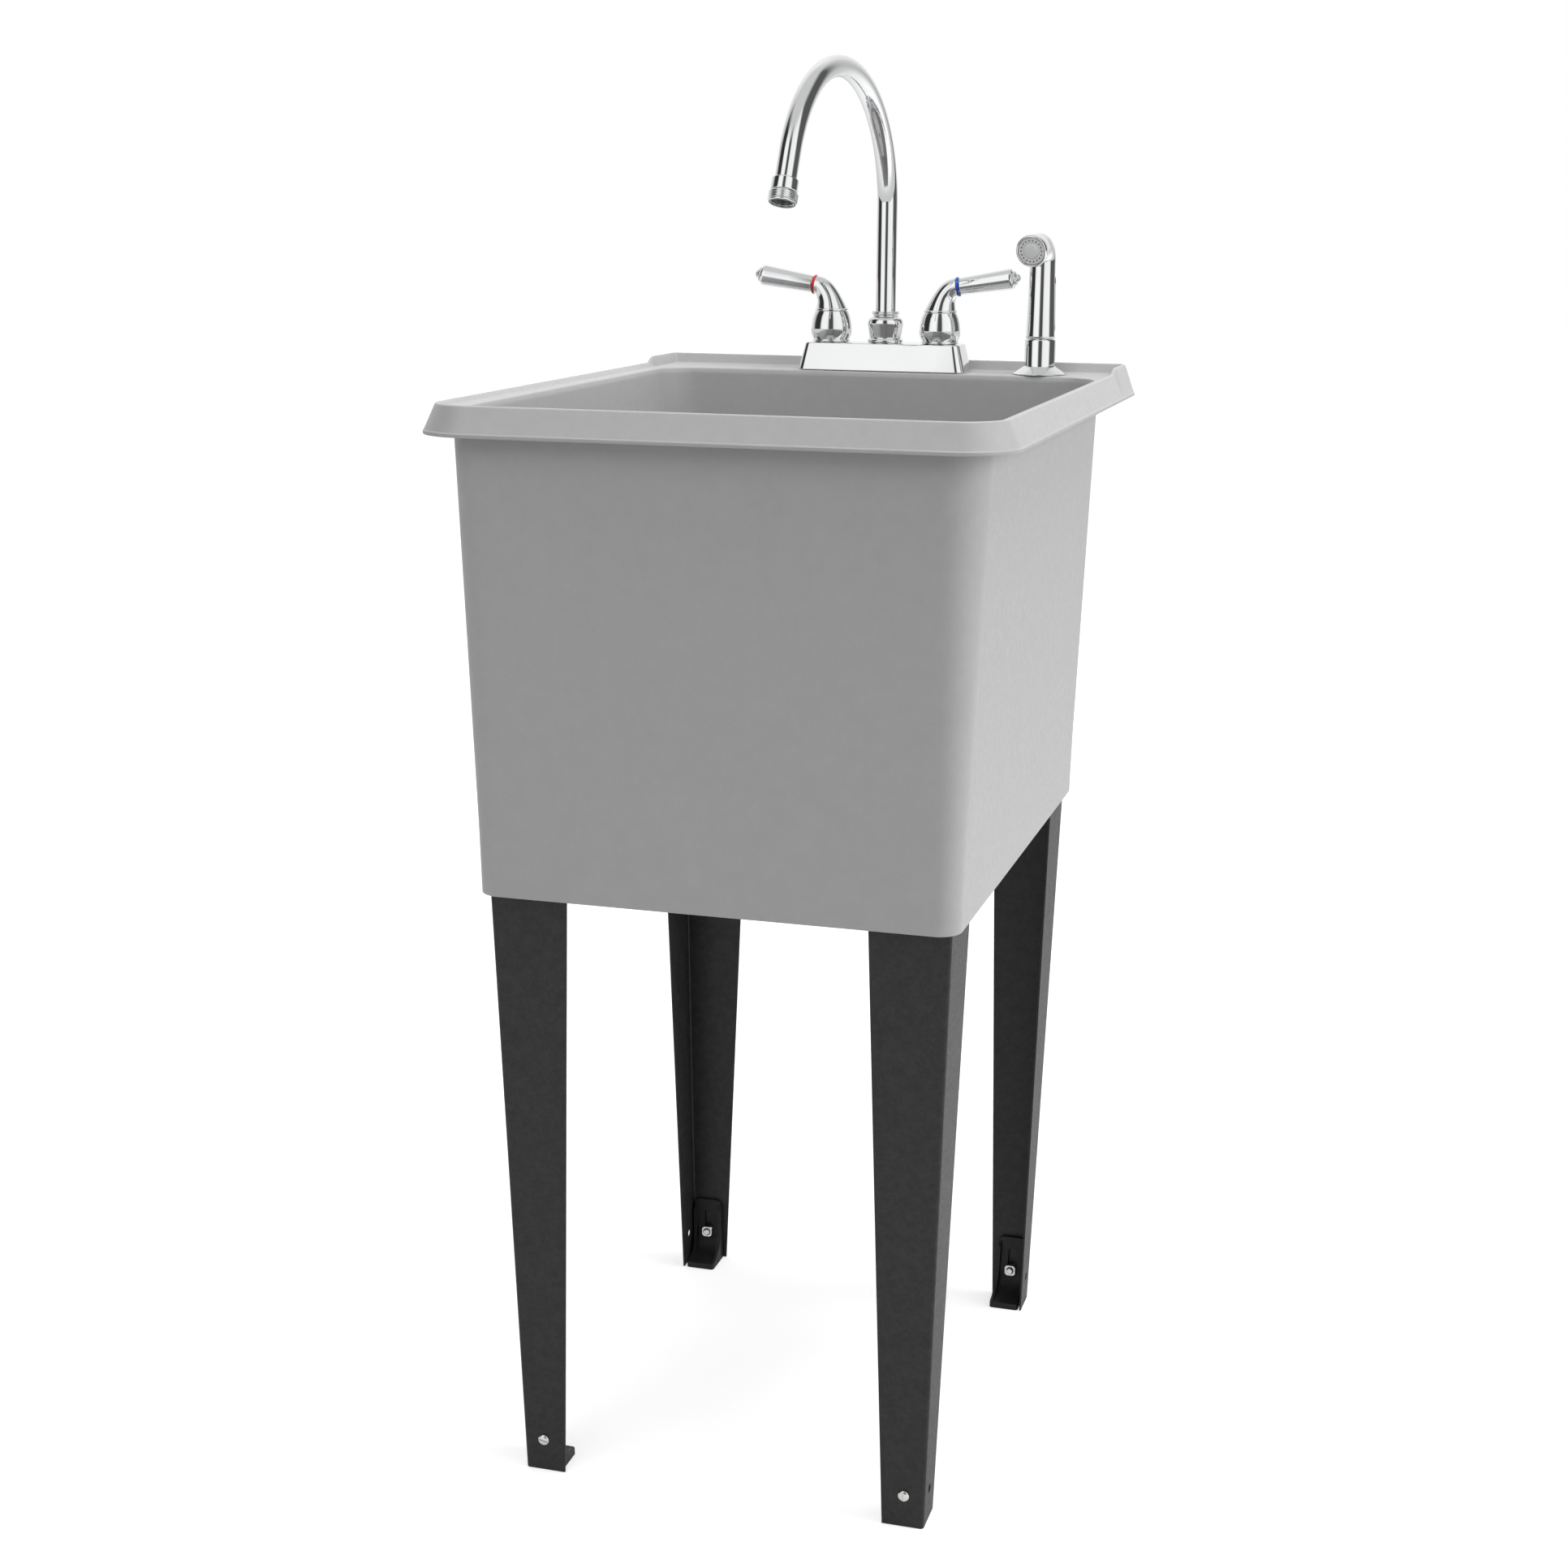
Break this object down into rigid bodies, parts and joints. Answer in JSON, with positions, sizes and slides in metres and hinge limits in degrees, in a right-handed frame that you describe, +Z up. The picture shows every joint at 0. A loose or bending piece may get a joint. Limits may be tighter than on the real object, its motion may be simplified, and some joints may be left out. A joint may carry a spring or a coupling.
{
  "type": "utility laundry sink",
  "caption": "Free-standing moulded utility tub on tapered angle legs with levelling feet, two-handle gooseneck tap, side sprayer and bottom drain.",
  "frame": {"origin": "on the floor, under the middle of the rim (bottom centre of the bounding box)", "axes": "+Z up; the front of the tub faces -Y and the tap deck is at +Y; +X is to the right of someone who stands in front"},
  "size_m": [0.451, 0.591, 1.142],
  "materials": {
    "tub": "satin moulded grey with a fine grain",
    "legs": "satin black powder coat",
    "feet": "matt black moulding",
    "fasteners": "bright zinc plate",
    "drain_steel": "polished stainless",
    "chrome": "bright chrome plate",
    "chrome_plastic": "bright chrome plate on plastic",
    "brass": "as cast and turned",
    "rubber": "matt black",
    "nylon": "natural nylon",
    "hot_index": "gloss red",
    "cold_index": "gloss blue",
    "spray_face": "satin grey",
    "screen": "fine dark mesh"
  },
  "bodies": {
    "stand": {"tub": "tub", "leg_front_left": "legs", "leg_front_right": "legs", "leg_back_left": "legs", "leg_back_right": "legs", "foot_bolt_front_left": "fasteners", "foot_bolt_front_right": "fasteners", "foot_bolt_back_left": "fasteners", "foot_bolt_back_right": "fasteners", "foot_nut_front_left": "fasteners", "foot_nut_front_right": "fasteners", "foot_nut_back_left": "fasteners", "foot_nut_back_right": "fasteners", "drain_body": "drain_steel", "drain_gasket": "rubber", "drain_locknut": "nylon", "tap_base_cover": "chrome", "tap_base_gasket": "rubber", "tap_body": "brass", "hot_mounting_nut": "nylon", "cold_mounting_nut": "nylon", "hot_bonnet": "chrome", "cold_bonnet": "chrome", "spout_collar": "chrome", "spray_holder": "chrome", "spray_holder_nut": "nylon"},
    "levelling_foot_front_left": {"foot_front_left": "feet"},
    "levelling_foot_front_right": {"foot_front_right": "feet"},
    "levelling_foot_back_left": {"foot_back_left": "feet"},
    "levelling_foot_back_right": {"foot_back_right": "feet"},
    "stopper": {"drain_stopper": "rubber"},
    "spout": {"spout_tube": "chrome", "spout_outlet_collar": "chrome", "aerator_housing": "chrome", "aerator_screen": "screen"},
    "hot_handle": {"hot_valve_stem": "brass", "hot_handle_hub": "chrome", "hot_index_ring": "hot_index", "hot_lever": "chrome"},
    "cold_handle": {"cold_valve_stem": "brass", "cold_handle_hub": "chrome", "cold_index_ring": "cold_index", "cold_lever": "chrome"},
    "sprayer": {"spray_body": "chrome_plastic", "spray_hose_nipple": "brass", "spray_trigger_pin": "fasteners", "spray_head_ring": "chrome_plastic", "spray_face": "spray_face"},
    "trigger": {"spray_trigger": "chrome_plastic"}
  },
  "joints": [
    {"name": "spout_swivel", "type": "hinge", "parent": "stand", "child": "spout", "pos_m": [0, 0.2535, 0.9], "axis": [0, 0, 1], "continuous": true},
    {"name": "hot_turn", "type": "hinge", "parent": "stand", "child": "hot_handle", "pos_m": [-0.0508, 0.2535, 0.92], "axis": [0, 0, 1], "range_deg": [0, 90]},
    {"name": "cold_turn", "type": "hinge", "parent": "stand", "child": "cold_handle", "pos_m": [0.0508, 0.2535, 0.92], "axis": [0, 0, 1], "range_deg": [-90, 0]},
    {"name": "spray_lift", "type": "slide", "parent": "stand", "child": "sprayer", "axis": [0, 0, 1], "range_m": [0, 0.1]},
    {"name": "spray_trigger_press", "type": "hinge", "parent": "sprayer", "child": "trigger", "pos_m": [0.14385, 0.25994, 0.9625], "axis": [0.9914, -0.1305, 0], "range_deg": [-4, 0], "stiffness_Nm_per_rad": 0.5, "springref_deg": 5.73},
    {"name": "stopper_lift", "type": "slide", "parent": "stand", "child": "stopper", "axis": [0, 0, 1], "range_m": [0, 0.05]},
    {"name": "foot_front_left_level", "type": "slide", "parent": "stand", "child": "levelling_foot_front_left", "axis": [-0.0302, -0.031, 0.9991], "range_m": [-0.018, 0]},
    {"name": "foot_front_right_level", "type": "slide", "parent": "stand", "child": "levelling_foot_front_right", "axis": [0.0302, -0.031, 0.9991], "range_m": [-0.018, 0]},
    {"name": "foot_back_left_level", "type": "slide", "parent": "stand", "child": "levelling_foot_back_left", "axis": [-0.0302, 0.031, 0.9991], "range_m": [-0.018, 0]},
    {"name": "foot_back_right_level", "type": "slide", "parent": "stand", "child": "levelling_foot_back_right", "axis": [0.0302, 0.031, 0.9991], "range_m": [-0.018, 0]}
  ]
}
